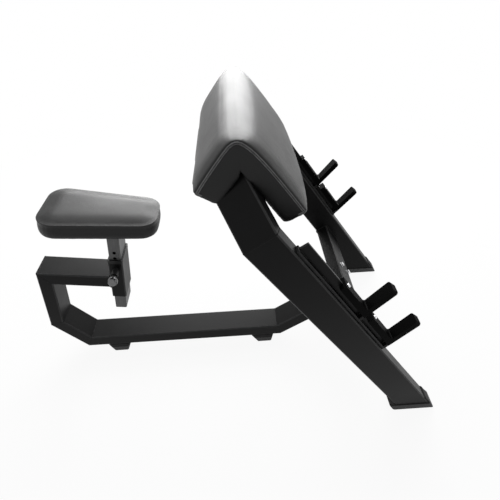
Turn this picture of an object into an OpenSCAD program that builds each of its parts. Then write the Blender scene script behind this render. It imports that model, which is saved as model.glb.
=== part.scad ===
// Preacher curl bench: a curved arm pad on two splayed legs, a seat on a pinned post,
// and a pair of bar racks. All sizes are in millimetres, Z is up, X runs from the seat
// towards the racks, and the ground is at Z = 0.

/* [Frame tube] */
// long side of the frame tube's section
tube_w = 100; // [90:1:110]
// short side of the frame tube's section
tube_t = 50; // [44:1:56]
// wall thickness of the frame tube
tube_wall = 3; // [2:0.5:5]
// outside radius on the tube's long edges
tube_round = 5; // [3:0.5:8]

/* [Spine] */
// backward lean of the seat arm, the upright and the post, in degrees
lean = 8.5; // [6:0.5:11]
// seat arm, from its corner to the rear face of the sleeve
arm_len = 226; // [216:1:240]
// upright, between the centre lines of its two joints
upright_len = 238.5; // [225:0.5:260]
// slanted knee tube, between the centre lines of its two joints
knee_len = 154.5; // [145:0.5:165]
// slope of the knee tube below level, in degrees
knee_angle = 52.6; // [48:0.1:57]
// floor beam, between the centre lines of its two joints
beam_len = 772.6; // [740:0.2:800]
// underside of the floor beam above the ground
beam_lift = 42; // [36:1:50]
// riser, from the beam joint to the rear face of the crossbar
riser_len = 290; // [280:1:300]

/* [Side legs] */
// slope of the legs and of the front pad face, in degrees below level
leg_angle = 55.5; // [54:0.1:57]
// width over the outer faces of the two legs
stance_w = 770; // [750:2:790]
// bend of a leg, up the slope from the crossbar's centre line
bend_up = 639; // [630:1:650]
// inward bend of the upper leg, in degrees
bend_angle = 45; // [43:0.5:47]

/* [Crossbar joint] */
// width of the bolting flange on the riser
flange_w = 240; // [230:2:260]
// thickness of the bolting flange
flange_t = 8; // [6:0.5:10]
// sideways spacing of the crossbar bolts
bolt_pitch_y = 196; // [186:1:200]
// upper bolts, up the slope from the crossbar's centre line
bolt_high = 17; // [12:1:22]
// lower bolts, down the slope from the crossbar's centre line
bolt_low = 38; // [33:1:38]
// thread diameter of the crossbar bolts
bolt_d = 10; // [8:1:12]
// width across the flats of the bolt heads and nuts
bolt_flats = 17; // [16:0.5:19]
// height of the bolt heads and nuts
bolt_head_h = 7; // [6:0.5:8]
// washer diameter under the bolt heads and nuts
washer_d = 21; // [20:0.5:24]

/* [Arm pad] */
// width of the arm pad
pad_w = 570; // [550:2:580]
// foam and cover thickness over the board
pad_t = 44; // [40:1:48]
// thickness of the pad's backing board
board_t = 15; // [12:1:18]
// place of the sharp ridge line, up the slope from the crossbar's centre line
ridge_up = 871; // [865:1:880]
// slope of the rear pad face below level, in degrees
rear_angle = 53; // [51:0.5:55]
// front face length at the ends of the pad, from the sharp ridge line
front_len = 283; // [276:1:290]
// rear face length at the ends of the pad, from the sharp ridge line
rear_len = 199; // [194:1:206]
// how far the front edge swells out at the middle of the pad
front_bow = 45; // [35:1:50]
// how far the rear edge swells out at the middle of the pad
rear_bow = 14; // [8:1:18]
// length of the front face taken up by the rounded ridge
ridge_front = 222; // [200:1:230]
// length of the rear face taken up by the rounded ridge
ridge_rear = 72; // [60:1:90]
// crown of the padded faces at the middle of the pad
pad_crown = 9.5; // [6:0.5:12]
// how far the ends of the rear face curl in at their lower edge
rear_curl = 6; // [3:0.5:9]
// width of the rolled cover round the backing board
pad_rim = 12; // [10:1:14]
// thickness of the bent brackets under the pad
bracket_t = 5; // [4:0.5:6]
// width of a bent bracket
bracket_w = 80; // [76:1:84]
// how far a bracket's centre stands outside the middle of its leg, at the fold
bracket_shift = 10; // [8:1:12]
// bracket length down the front face, from its own fold
bracket_front = 115; // [110:1:120]
// bracket length down the rear face, from its own fold
bracket_rear = 105; // [100:1:110]

/* [Seat] */
// seat length
seat_len = 370; // [360:1:378]
// seat overhang behind the post's axis
seat_back = 219; // [210:1:222]
// seat width at the rear edge
seat_rear_w = 234; // [226:1:240]
// seat width at the front edge
seat_front_w = 166; // [160:1:172]
// cushion thickness at the edge
seat_t = 55.6; // [52:0.2:60]
// crown of the cushion over its edge
seat_crown = 9; // [6:0.5:12]
// corner radius of the seat
seat_round = 58; // [46:1:62]
// how far the cushion draws in at its underside
seat_tuck = 12; // [8:1:16]
// how far the rounded top edge stands in from the side
seat_edge = 9; // [7:0.5:12]
// thickness of the seat's backing board
seat_board_t = 12; // [10:1:15]
// thickness of the steel plate on top of the post
plate_t = 5; // [4:0.5:6]
// length of the steel plate on top of the post
plate_len = 170; // [150:1:180]
// width of the steel plate on top of the post
plate_w = 100; // [96:1:110]

/* [Post and sleeve] */
// post section along the bench
post_t = 40; // [38:0.5:41]
// post section across the bench
post_w = 90; // [88:0.5:91]
// lower end of the post below the seat arm's centre line
post_low = 134; // [125:1:142]
// upper end of the post above the seat arm's centre line
post_high = 223; // [215:1:235]
// lower end of the sleeve below the seat arm's centre line
sleeve_low = 70; // [60:1:80]
// upper end of the sleeve above the seat arm's centre line
sleeve_high = 90; // [84:1:95]
// height of the plastic collar over the sleeve
collar_h = 14; // [10:1:18]
// how far the collar stands out from the sleeve
collar_lip = 0.5; // [0.5:0.25:3]
// running clearance on each side of the post and round the pin
run_fit = 0.08; // [0.05:0.01:0.1]
// spacing of the height holes in the post
hole_pitch = 25; // [25:1:25]
// number of height holes in the post
hole_count = 7; // [7:2:7]

/* [Pull pin] */
// height of the pin above the seat arm's centre line
pin_high = 60; // [54:1:64]
// diameter of the pin
pin_d = 12; // [10:0.5:13]
// how far the pin's nose reaches inside the post's wall
pin_nose = 4; // [3:0.5:5]
// outside diameter of the welded pin barrel
barrel_d = 24; // [20:0.5:26]
// length of the welded pin barrel
barrel_len = 30; // [26:1:32]
// diameter of the pull knob
knob_d = 34; // [30:1:36]
// distance of the knob's centre from the sleeve's face
knob_reach = 55; // [53:1:60]

/* [Bar racks] */
// width of the strip welded along the leg
base_w = 28; // [24:1:32]
// thickness of the strip welded along the leg
base_t = 8; // [6:0.5:9]
// upper end of the rack, up the slope from the crossbar's centre line
rack_top = 564; // [558:1:574]
// thickness of the upright rack plate
web_t = 8; // [6:0.5:12]
// height of the rack plate behind the hooks, above the leg's face
web_low = 23; // [21:0.5:25]
// height of the guard above the leg's face
guard_high = 35.5; // [33:0.5:38]
// upper end of the upper hook, up the slope from the crossbar's centre line
hook_top = 389; // [384:1:394]
// length of a hook's back, from its upper end to its notch
hook_back = 117; // [112:1:120]
// spacing of the two hooks on a rack
hook_pitch = 165; // [162:1:170]
// width of the flat bar of a hook
hook_w = 38; // [34:1:42]
// thickness of the flat bar of a hook
hook_t = 20; // [18:0.5:22]
// reach of a hook arm over its back's face
hook_reach = 91; // [84:1:96]
// upward tilt of a hook arm, in degrees
hook_tilt = 15; // [10:1:20]
// radius in a hook's notch
notch_r = 6; // [4:0.5:9]
// radius on a hook's outer corners
tip_r = 8; // [5:0.5:12]

/* [Rubber feet] */
// length of a beam foot where it meets the beam
foot_top = 90; // [84:1:96]
// length of a beam foot on the ground
foot_low = 58; // [52:1:66]
// rear foot, forward of the rear beam joint
foot_rear_x = 113; // [105:1:122]
// front foot, behind the front beam joint
foot_front_x = 68; // [62:1:74]
// thickness of the sole under a leg
sole_t = 25; // [20:1:28]
// how far the sole stands out beside a leg
sole_side = 7; // [5:0.5:9]
// how far the boot stands out in front of a leg
boot_toe = 4; // [3:0.5:6]
// how far the boot reaches behind a leg, on the ground
boot_heel = 22; // [18:1:26]
// height of the boot's front lip
lip_front = 60; // [50:1:72]
// height of the boot's rear lip
lip_rear = 86; // [76:1:96]

/* [Hidden] */
// which part to draw

// far enough to pass through any part it cuts
over = 20;
// far enough to reach past the whole bench
wide = 1000;

// directions in the bench's upright middle plane, as [x, z]
function along(a) = [cos(a), sin(a)];
function across(a) = [-sin(a), cos(a)];
// crossing point of two lines, each a point and a direction
function meet(p, d, q, g) =
  let (k = ((q[0] - p[0]) * g[1] - (q[1] - p[1]) * g[0]) / (d[0] * g[1] - d[1] * g[0]))
  p + k * d;
// outline of a straight tube between two joints, cut along the given joint lines
function strip(p, q, a, h, cut_p, cut_q) =
  let (n = across(a))
  [
    p + cut_p * h / (cut_p * n), q + cut_q * h / (cut_q * n),
    q - cut_q * h / (cut_q * n), p - cut_p * h / (cut_p * n)
  ];

half_t = tube_t / 2;
riser_angle = 90 - leg_angle;
out = along(riser_angle);
up = across(riser_angle);
beam_z = beam_lift + half_t;

// joint points measured from the beam's front joint
rel_knee_low = [-beam_len, beam_z];
rel_knee_high = rel_knee_low - knee_len * along(-knee_angle);
rel_face = [0, beam_z] + (riser_len + tube_w) * out;
knee_cut = across(-90 - lean) + across(-knee_angle);
arm_cut = across(90 - lean) + across(-lean);
rear_edge = strip(rel_knee_high, rel_knee_low, -knee_angle, half_t, knee_cut,
                  across(-knee_angle))[3][0];
front_edge = rel_face[0] + rel_face[1] / tan(leg_angle) + boot_toe / sin(leg_angle);
// shift that puts the middle of the whole length over the origin
mid_x = -(rear_edge + front_edge) / 2;

beam_front = [mid_x, beam_z];
knee_low = [mid_x, 0] + rel_knee_low;
knee_high = [mid_x, 0] + rel_knee_high;
arm_corner = knee_high + upright_len * across(-lean);
arm_end = arm_corner + arm_len * along(-lean);
riser_end = beam_front + (riser_len - flange_t) * out;
// the front plane of the legs, level with the crossbar's centre line
leg_face = [mid_x, 0] + rel_face;
bar_y = stance_w / 2 - tube_t;
leg_y = stance_w / 2 - half_t;

post_e = arm_len + half_t;
post_top = post_high + plate_t;
post_round = 4;
cap_t = 3;

pad_proud = pad_t + board_t + bracket_t;
ridge = leg_face + ridge_up * up + pad_proud * out;
front_dir = along(-leg_angle);
front_out = along(90 - leg_angle);
rear_dir = along(180 + rear_angle);
rear_out = along(90 + rear_angle);
ridge_weight = 1.87;

seat_x0 = -seat_back;
seat_x1 = seat_len - seat_back;
seat_taper = atan((seat_rear_w - seat_front_w) / 2 / seat_len);

bolt_spots = [
  [-bolt_pitch_y / 2, bolt_high], [bolt_pitch_y / 2, bolt_high],
  [-bolt_pitch_y / 2, -bolt_low], [bolt_pitch_y / 2, -bolt_low]
];
bolt_hole_d = bolt_d + 1;
washer_t = 2;
// from the top of one washer, through the crossbar and flange, to 5 mm past the nut
shank_len = washer_t + tube_t + flange_t + washer_t + bolt_head_h + 5;

// screws that hold the pads: head, shank and clearance hole diameters, head height, and the
// distance of a screw from its bracket's side edge
screw_head_d = 14;
screw_d = 6;
screw_hole_d = 7;
screw_head_h = 4;
screw_inset = 10;

// A frame on the legs' front plane: local X runs across the bench, Y up the slope, Z outwards.
module on_leg() {
  translate([leg_face[0], 0, leg_face[1]]) rotate([0, leg_angle, 0]) rotate([0, 0, 90]) children();
}

// A frame at the sharp ridge line: local X across, Y up the front face, Z out of it.
module on_front() {
  translate([ridge[0], 0, ridge[1]]) rotate([0, leg_angle, 0]) rotate([0, 0, 90]) children();
}

// A frame at the sharp ridge line: local X across, Y down the rear face, Z out of it.
module on_rear() {
  translate([ridge[0], 0, ridge[1]]) rotate([0, -rear_angle, 0]) rotate([0, 0, 90]) children();
}

// A frame at the seat arm's corner: local X along the arm, Y across, Z up the post.
module on_arm() {
  translate([arm_corner[0], 0, arm_corner[1]]) rotate([0, lean, 0]) children();
}

// Draws an outline given in the bench's upright middle plane, to a width across the bench.
module slab(points, w) {
  rotate([90, 0, 0]) linear_extrude(height = w, center = true) polygon(points);
}

module round_rect(w, t, r) {
  union() {
    square([w - 2 * r, t], center = true);
    square([w, t - 2 * r], center = true);
    for (sx = [-1, 1]) for (sy = [-1, 1])
      translate([sx * (w / 2 - r), sy * (t / 2 - r)]) circle(r = r, $fn = 32);
  }
}

// Hollow bar standing on the ground plane of its own frame.
module hollow_bar(w, t, r, wall, len) {
  difference() {
    linear_extrude(height = len) round_rect(w, t, r);
    translate([0, 0, -over]) linear_extrude(height = len + 2 * over)
      round_rect(w - 2 * wall, t - 2 * wall, max(r - wall, 1));
  }
}

// A spine tube between two joint points, mitred along the joint lines.
module spine_tube(p, q, a, cut_p, cut_q) {
  reach = norm(q - p);
  intersection() {
    translate([p[0], 0, p[1]]) rotate([0, 90 - a, 0]) translate([0, 0, -2 * tube_w])
      hollow_bar(tube_t, tube_w, tube_round, tube_wall, reach + 4 * tube_w);
    slab(strip(p, q, a, half_t + over / 2, cut_p, cut_q), tube_w + over);
  }
}

module frame_paint() color([0.16, 0.16, 0.17]) children();
module hook_black() color([0.04, 0.04, 0.04]) children();
module zinc() color([0.78, 0.78, 0.8]) children();
module rubber() color([0.1, 0.1, 0.1]) children();
module vinyl() color([0.07, 0.07, 0.08]) children();
module steel_grey() color([0.5, 0.5, 0.5]) children();
module ply() color([0.6, 0.48, 0.34]) children();

// Spine
module seat_arm() frame_paint()
  spine_tube(arm_corner, arm_end, -lean, arm_cut, across(-lean));

module upright() frame_paint()
  spine_tube(arm_corner, knee_high, -90 - lean, arm_cut, knee_cut);

module knee_tube() frame_paint()
  spine_tube(knee_high, knee_low, -knee_angle, knee_cut, across(-knee_angle) + across(0));

module floor_beam() frame_paint()
  spine_tube(knee_low, beam_front, 0, across(-knee_angle) + across(0),
             across(0) + across(riser_angle));

module riser() frame_paint()
  spine_tube(beam_front, riser_end, riser_angle, across(0) + across(riser_angle),
             across(riser_angle));

module riser_flange() frame_paint() difference() {
  on_leg() translate([0, 0, -tube_w - flange_t]) linear_extrude(height = flange_t)
    round_rect(flange_w, tube_w, 4);
  bolt_holes();
}

// Crossbar and its bolts
module bolt_holes() {
  on_leg() for (s = bolt_spots)
    translate([s[0], s[1], -tube_w - 2 * over])
      cylinder(d = bolt_hole_d, h = tube_w, $fn = 32);
}

module crossbar() frame_paint() difference() {
  on_leg() translate([-bar_y, 0, -half_t - tube_t]) rotate([90, 0, 90])
    hollow_bar(tube_w, tube_t, tube_round, tube_wall, 2 * bar_y);
  bolt_holes();
}

module crossbar_bolt(s) zinc()
  on_leg() translate([s[0], s[1], -tube_t]) {
    cylinder(d = washer_d, h = washer_t, $fn = 32);
    translate([0, 0, washer_t]) cylinder(d = bolt_flats / cos(30), h = bolt_head_h, $fn = 6);
    translate([0, 0, washer_t - shank_len]) cylinder(d = bolt_d, h = shank_len, $fn = 32);
  }

module crossbar_nut(s) zinc()
  on_leg() translate([s[0], s[1], -tube_w - flange_t])
    difference() {
      union() {
        translate([0, 0, -washer_t]) cylinder(d = washer_d, h = washer_t, $fn = 32);
        translate([0, 0, -washer_t - bolt_head_h])
          cylinder(d = bolt_flats / cos(30), h = bolt_head_h, $fn = 6);
      }
      translate([0, 0, -over]) cylinder(d = bolt_d, h = 2 * over, $fn = 32);
    }

// Side legs; the left one is drawn and the right one mirrored
module sided(side) {
  mirror([0, side < 0 ? 1 : 0, 0]) children();
}

// joint line of the bend, in the leg's plane as [across, up], for the left leg
bend_dir = [-sin(bend_angle), cos(bend_angle)];
bend_cut = [1 + cos(bend_angle), sin(bend_angle)];

module leg_lower_solid() {
  on_leg() translate([leg_y, 0, -tube_w / 2]) rotate([-90, 0, 0])
    translate([0, 0, -wide])
      hollow_bar(tube_t, tube_w, tube_round, tube_wall, wide + bend_up + tube_w);
}

module leg_lower(side) frame_paint() sided(side) intersection() {
  leg_lower_solid();
  // below the bend
  on_leg() translate([0, 0, -tube_w - over]) linear_extrude(height = tube_w + 2 * over)
    polygon([
      [leg_y, bend_up] + tube_t * bend_cut, [leg_y, bend_up] - tube_t * bend_cut,
      [leg_y - tube_t * bend_cut[0], -wide], [leg_y + tube_t * bend_cut[0], -wide]
    ]);
  // above the sole
  translate([-2 * wide, leg_y - tube_t, sole_t]) cube([4 * wide, 2 * tube_t, 2 * wide]);
}

module leg_upper(side) frame_paint() sided(side) intersection() {
  on_leg() translate([leg_y, bend_up, -tube_w / 2]) rotate([-90, 0, bend_angle])
    translate([0, 0, -tube_w]) hollow_bar(tube_t, tube_w, tube_round, tube_wall, wide);
  // above the bend
  on_leg() translate([0, 0, -tube_w - over]) linear_extrude(height = tube_w + 2 * over)
    polygon([
      [leg_y, bend_up] + tube_t * bend_cut,
      [leg_y, bend_up] + tube_t * bend_cut + wide / 2 * bend_dir,
      [leg_y, bend_up] - tube_t * bend_cut + wide / 2 * bend_dir,
      [leg_y, bend_up] - tube_t * bend_cut
    ]);
  // under the rear half of the bent bracket
  on_rear() translate([-wide, -wide, -pad_proud - wide]) cube([2 * wide, 3 * wide, wide]);
}

// Rubber feet
boot_rear_top = leg_face - tube_w * out;
function face_at(p, z) = [p[0] + (p[1] - z) / tan(leg_angle), z];

// bevel round the bottom edge of the rubber, and how far the sole's top stands out beside a leg
sole_bevel = [3, 6];
sole_ledge = 3;

module boot_shape() {
  toe = boot_toe * out;
  low_rear = face_at(boot_rear_top, 0) - [boot_heel, 0];
  low_front = face_at(leg_face + toe, 0);
  bottom = [
    low_rear + [-sole_bevel[0], sole_bevel[1]], low_rear + [sole_bevel[0], 0],
    low_front - [2 * sole_bevel[0], 0], face_at(leg_face + toe, sole_bevel[0])
  ];
  slab(concat(
    [face_at(boot_rear_top, lip_rear)], bottom,
    [face_at(leg_face + toe, lip_front - boot_toe), face_at(leg_face, lip_front)]
  ), tube_t);
  // sole, flared towards the ground
  intersection() {
    slab(concat(
      [low_rear + [sole_bevel[1] - boot_heel, sole_t]], bottom, [face_at(leg_face + toe, sole_t)]
    ), 2 * tube_t);
    rotate([90, 0, 90]) linear_extrude(height = 2 * wide, center = true)
      polygon([
        [-half_t - sole_side + sole_bevel[0], 0], [half_t + sole_side - sole_bevel[0], 0],
        [half_t + sole_side, sole_bevel[0]], [half_t + sole_ledge, sole_t],
        [-half_t - sole_ledge, sole_t], [-half_t - sole_side, sole_bevel[0]]
      ]);
  }
}

module boot(side) rubber() sided(side) difference() {
  translate([0, leg_y, 0]) boot_shape();
  // seat of the leg
  intersection() {
    on_leg() translate([leg_y, 0, -tube_w / 2]) rotate([-90, 0, 0]) translate([0, 0, -wide])
      linear_extrude(height = wide + bend_up) round_rect(tube_t, tube_w, tube_round);
    translate([-2 * wide, leg_y - tube_t, sole_t]) cube([4 * wide, 2 * tube_t, wide]);
  }
}

module beam_foot(x, lean_rear, lean_front) rubber()
  slab([
    [x - foot_top / 2, beam_lift], [x - foot_top / 2 + lean_rear, foot_bevel],
    [x - foot_top / 2 + lean_rear + foot_bevel, 0], [x + foot_top / 2 - lean_front - foot_bevel, 0],
    [x + foot_top / 2 - lean_front, foot_bevel], [x + foot_top / 2, beam_lift]
  ], tube_w);

foot_draw = foot_top - foot_low;
foot_bevel = 4;

module beam_foot_rear() beam_foot(knee_low[0] + foot_rear_x, foot_draw / 2, foot_draw / 2);
module beam_foot_front() beam_foot(beam_front[0] - foot_front_x, foot_draw * 0.75, foot_draw * 0.25);

// Arm pad
function bow(y) = 1 - pow(abs(y) / (pad_w / 2), 2.2);
// how much of an end's drawn-in shape shows at y: 0 over most of the pad and 1 at its ends
function end_share(y) = pow(abs(y) / (pad_w / 2), 10);
// a point of the pad section: distance down a face from the ridge line, and height off that face
function on_face(front, s, h) =
  front ? ridge + s * front_dir + h * front_out : ridge + s * rear_dir + h * rear_out;
// height of the padded faces over the plain section, down the front and down the rear
function front_swell(y, s, lf) =
  pad_crown * (1 - end_share(y)) * pow(sin(180 * pow(max(0, (lf - s) / lf), 0.75)), 0.6);
function rear_swell(y, s, lr) =
  pad_crown * (1 - end_share(y)) * 0.8 * pow(sin(180 * pow(max(0, (lr - s) / lr), 0.8)), 0.6)
  - rear_curl * end_share(y) * pow(s / lr, 3);
// the rounded ridge, from the front face at 0 to the rear face at 1
function ridge_at(t) =
  let (
    p = ridge + ridge_front * front_dir, q = ridge + ridge_rear * rear_dir,
    a = (1 - t) * (1 - t), b = 2 * ridge_weight * t * (1 - t), c = t * t
  )
  (a * p + b * ridge + c * q) / (a + b + c);
function ridge_lift(y, t, lf, lr) =
  ((1 - t) * front_swell(y, ridge_front * (1 - t), lf) * front_out
   + t * rear_swell(y, ridge_rear * t, lr) * rear_out);

outer_steps = 4;
ridge_steps = 12;
rear_steps = 5;
inner_fold = meet(on_face(true, 0, -pad_t - board_t), front_dir,
                  on_face(false, 0, -pad_t - board_t), rear_dir);

function outer_chain(y) =
  let (
    lf = front_len + front_bow * bow(y), lr = rear_len + rear_bow * bow(y),
    gap_f = lf - 2.5 - ridge_front, gap_r = lr - 2.5 - ridge_rear, curl = rear_curl * end_share(y)
  )
  concat(
    [on_face(true, lf - 0.5, -0.55 * pad_t), on_face(true, lf + 0.6, -0.2 * pad_t),
     on_face(true, lf, -3), on_face(true, lf - 2.5, 0)],
    [for (k = [1:outer_steps - 1])
      let (s = lf - 2.5 - gap_f * k / outer_steps)
      on_face(true, s, front_swell(y, s, lf))],
    [for (k = [0:ridge_steps]) ridge_at(k / ridge_steps) + ridge_lift(y, k / ridge_steps, lf, lr)],
    [for (k = [1:rear_steps - 1])
      let (s = ridge_rear + gap_r * k / rear_steps)
      on_face(false, s, rear_swell(y, s, lr))],
    [on_face(false, lr - 2.5, -curl), on_face(false, lr, -3 - curl),
     on_face(false, lr + 0.6, -0.2 * pad_t - curl / 2), on_face(false, lr - 0.5, -0.55 * pad_t)]
  );

chain_count = len(outer_chain(0));
deep = pad_t + board_t;

function inner_chain(y) =
  let (
    lf = front_len + front_bow * bow(y), lr = rear_len + rear_bow * bow(y),
    front_tip = [on_face(true, lf - 2, -deep + 14), on_face(true, lf - 5, -deep + 6),
                 on_face(true, lf - 10, -deep + 1.5), on_face(true, lf - 17, -deep)],
    rear_tip = [on_face(false, lr - 17, -deep), on_face(false, lr - 10, -deep + 1.5),
                on_face(false, lr - 5, -deep + 6), on_face(false, lr - 2, -deep + 14)],
    steps_f = outer_steps + ridge_steps / 2, steps_r = rear_steps + ridge_steps / 2
  )
  concat(
    front_tip,
    [for (k = [1:steps_f - 1]) front_tip[3] + (inner_fold - front_tip[3]) * k / steps_f],
    [inner_fold],
    [for (k = [1:steps_r - 1]) inner_fold + (rear_tip[0] - inner_fold) * k / steps_r],
    rear_tip
  );

pad_stations = [for (k = [-8:8]) pad_w / 2 * sin(90 * k / 8.6) / sin(90 * 8 / 8.6)];
ring_count = 2 * chain_count;

function pad_ring(y) = concat(
  [for (p = outer_chain(y)) [p[0], y, p[1]]],
  [for (k = [chain_count - 1:-1:0]) let (p = inner_chain(y)[k]) [p[0], y, p[1]]]
);

function band_faces(rings, count) = [
  for (i = [0:rings - 2]) for (j = [0:count - 1])
    let (a = i * count + j, b = i * count + (j + 1) % count, c = a + count, d = b + count)
    each [[a, c, d], [a, d, b]]
];

function pad_cap(first, flip) = [
  for (j = [0:chain_count - 2])
    let (
      a = first + j, b = first + j + 1,
      c = first + ring_count - 2 - j, d = first + ring_count - 1 - j
    )
    each (flip ? [[a, c, b], [a, d, c]] : [[a, b, c], [a, c, d]])
];

board_front = front_len - pad_rim;
board_rear = rear_len - pad_rim;
board_half = pad_w / 2 - pad_rim;
board_steps = 12;

function board_edge(len, swell, sign) = [
  for (k = [0:board_steps])
    let (y = -board_half + 2 * board_half * k / board_steps)
    [y, sign * (len + swell * bow(y))]
];

// everything on the front side of the fold between the two pad faces
module fold_side(front) {
  fold = front_dir + rear_dir;
  far = front ? wide : -wide;
  slab([ridge, ridge + 0.5 * wide * fold, ridge + [far, -wide], ridge + [far, wide]], 2 * wide);
}

module board_shape() {
  intersection() {
    on_front() translate([0, 0, -deep]) linear_extrude(height = board_t)
      polygon(concat([[board_half, 0], [-board_half, 0]], board_edge(board_front, front_bow, -1)));
    fold_side(true);
  }
  intersection() {
    on_rear() translate([0, 0, -deep]) linear_extrude(height = board_t)
      polygon(concat([[board_half, 0], [-board_half, 0]], board_edge(board_rear, rear_bow, 1)));
    fold_side(false);
  }
}

module arm_pad_board() ply() board_shape();

module arm_pad_cushion() vinyl() difference() {
  polyhedron(
    points = [for (y = pad_stations) each pad_ring(y)],
    faces = concat(
      band_faces(len(pad_stations), ring_count),
      pad_cap(0, false),
      pad_cap((len(pad_stations) - 1) * ring_count, true)
    )
  );
  board_shape();
}

// clearance between a bent bracket and the board it is screwed to
seat_gap = 0.02;
bracket_fold = meet(on_face(true, 0, -pad_proud), front_dir, on_face(false, 0, -pad_proud), rear_dir);
bracket_skin = meet(on_face(true, 0, -deep - seat_gap), front_dir,
                    on_face(false, 0, -deep - seat_gap), rear_dir);
bracket_y = leg_y - ((bracket_fold - leg_face) * up - bend_up) * tan(bend_angle) + bracket_shift;
screw_y = bracket_y - bracket_w / 2 + screw_inset;
screw_down = 90;

module pad_screw_places(side, front) {
  spot = bracket_fold + screw_down * (front ? front_dir : rear_dir);
  translate([spot[0], side * screw_y, spot[1]])
    rotate([0, front ? leg_angle : -rear_angle, 0]) children();
}

module pad_bracket(side) frame_paint() sided(side) difference() {
  translate([0, bracket_y, 0]) slab([
    bracket_skin, bracket_skin + bracket_front * front_dir, bracket_fold + bracket_front * front_dir,
    bracket_fold, bracket_fold + bracket_rear * rear_dir, bracket_skin + bracket_rear * rear_dir
  ], bracket_w);
  for (front = [true, false]) pad_screw_places(1, front)
    translate([0, 0, -over]) cylinder(d = screw_hole_d, h = 2 * over, $fn = 24);
}

// a screw whose head bears on the ground plane of its own frame, through a sheet of thickness t
module sheet_screw(t) {
  translate([0, 0, -screw_head_h]) cylinder(d = screw_head_d, h = screw_head_h, $fn = 32);
  translate([0, 0, -1]) cylinder(d = screw_d, h = t + 1, $fn = 24);
}

module pad_screw(side, front) zinc() pad_screw_places(side, front) sheet_screw(bracket_t);

// Sleeve and liner
module post_sleeve() frame_paint() difference() {
  on_arm() translate([post_e, 0, -sleeve_low])
    hollow_bar(tube_t, tube_w, tube_round, tube_wall, sleeve_low + sleeve_high);
  pin_bore(pin_d + 2 * run_fit);
}

module pin_bore(d) {
  on_arm() translate([post_e, -tube_w, pin_high]) rotate([-90, 0, 0])
    cylinder(d = d, h = tube_w, $fn = 32);
}

module sleeve_liner() color([0.06, 0.06, 0.06]) difference() {
  on_arm() translate([post_e, 0, 0]) {
    translate([0, 0, -sleeve_low]) linear_extrude(height = sleeve_low + sleeve_high)
      round_rect(tube_t - 2 * tube_wall, tube_w - 2 * tube_wall, tube_round - tube_wall);
    translate([0, 0, sleeve_high]) linear_extrude(height = collar_h)
      round_rect(tube_t + 2 * collar_lip, tube_w + 2 * collar_lip, tube_round);
  }
  on_arm() translate([post_e, 0, -sleeve_low - over])
    linear_extrude(height = sleeve_low + sleeve_high + collar_h + 2 * over)
      round_rect(post_t + 2 * run_fit, post_w + 2 * run_fit, post_round + run_fit);
  pin_bore(pin_d + 2 * run_fit);
}

// Pull pin
pin_face_y = -tube_w / 2;
pin_tip_y = -post_w / 2 + tube_wall + pin_nose;

module at_pin(y) {
  on_arm() translate([post_e, y, pin_high]) rotate([90, 0, 0]) children();
}

module pin_barrel() frame_paint() difference() {
  at_pin(pin_face_y) cylinder(d = barrel_d, h = barrel_len, $fn = 48);
  pin_bore(pin_d + 2 * run_fit);
}

module pin_shaft() steel_grey() {
  nose = 2;
  reach = pin_tip_y - pin_face_y + knob_reach - knob_d / 4;
  at_pin(pin_tip_y) translate([0, 0, nose]) cylinder(d = pin_d, h = reach - nose, $fn = 32);
  at_pin(pin_tip_y) cylinder(d1 = pin_d - 2 * nose, d2 = pin_d, h = nose, $fn = 32);
}

module pin_knob() steel_grey() {
  neck = knob_reach - barrel_len - 3;
  at_pin(pin_face_y - knob_reach) difference() {
    rotate_extrude($fn = 48) polygon(concat(
      [[0, -neck], [8, -neck], [8.5, -neck + 3]],
      [for (a = [-56:8:80]) [knob_d / 2 * cos(a), knob_d / 2 * sin(a)]],
      [[0, knob_d / 2 * sin(80)]]
    ));
    translate([0, 0, -neck - over]) cylinder(d = pin_d, h = neck + over - knob_d / 4, $fn = 32);
  }
}

// Post and seat
module seat_post() steel_grey() difference() {
  on_arm() translate([post_e, 0, cap_t - post_low])
    hollow_bar(post_t, post_w, post_round, tube_wall, post_low - cap_t + post_high);
  for (k = [0:hole_count - 1])
    at_pin(-post_w / 2 + tube_wall + over / 2) translate([0, (k - (hole_count - 1) / 2) * hole_pitch, 0])
      cylinder(d = pin_d + 2 * run_fit, h = 2 * over, $fn = 32);
}

module post_cap() color([0.06, 0.06, 0.06]) on_arm() translate([post_e, 0, -post_low]) {
  linear_extrude(height = cap_t) round_rect(post_t, post_w, post_round);
  translate([0, 0, cap_t]) linear_extrude(height = 4 * cap_t)
    round_rect(post_t - 2 * tube_wall, post_w - 2 * tube_wall, max(post_round - tube_wall, 1));
}

seat_screw_spots = [[-1, -1], [1, -1], [-1, 1], [1, 1]];
seat_screw_x = plate_len / 2 - screw_head_d;
seat_screw_y = plate_w / 2 - screw_head_d;

module seat_screw_holes() {
  on_arm() for (s = seat_screw_spots)
    translate([post_e + s[0] * seat_screw_x, s[1] * seat_screw_y, post_high - over])
      cylinder(d = screw_hole_d, h = 2 * over, $fn = 24);
}

module seat_plate() frame_paint() difference() {
  on_arm() translate([post_e, 0, post_high]) linear_extrude(height = plate_t)
    round_rect(plate_len, plate_w, 10);
  seat_screw_holes();
}

module seat_screw(s) zinc()
  on_arm() translate([post_e + s[0] * seat_screw_x, s[1] * seat_screw_y, post_high])
    sheet_screw(plate_t);

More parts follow.
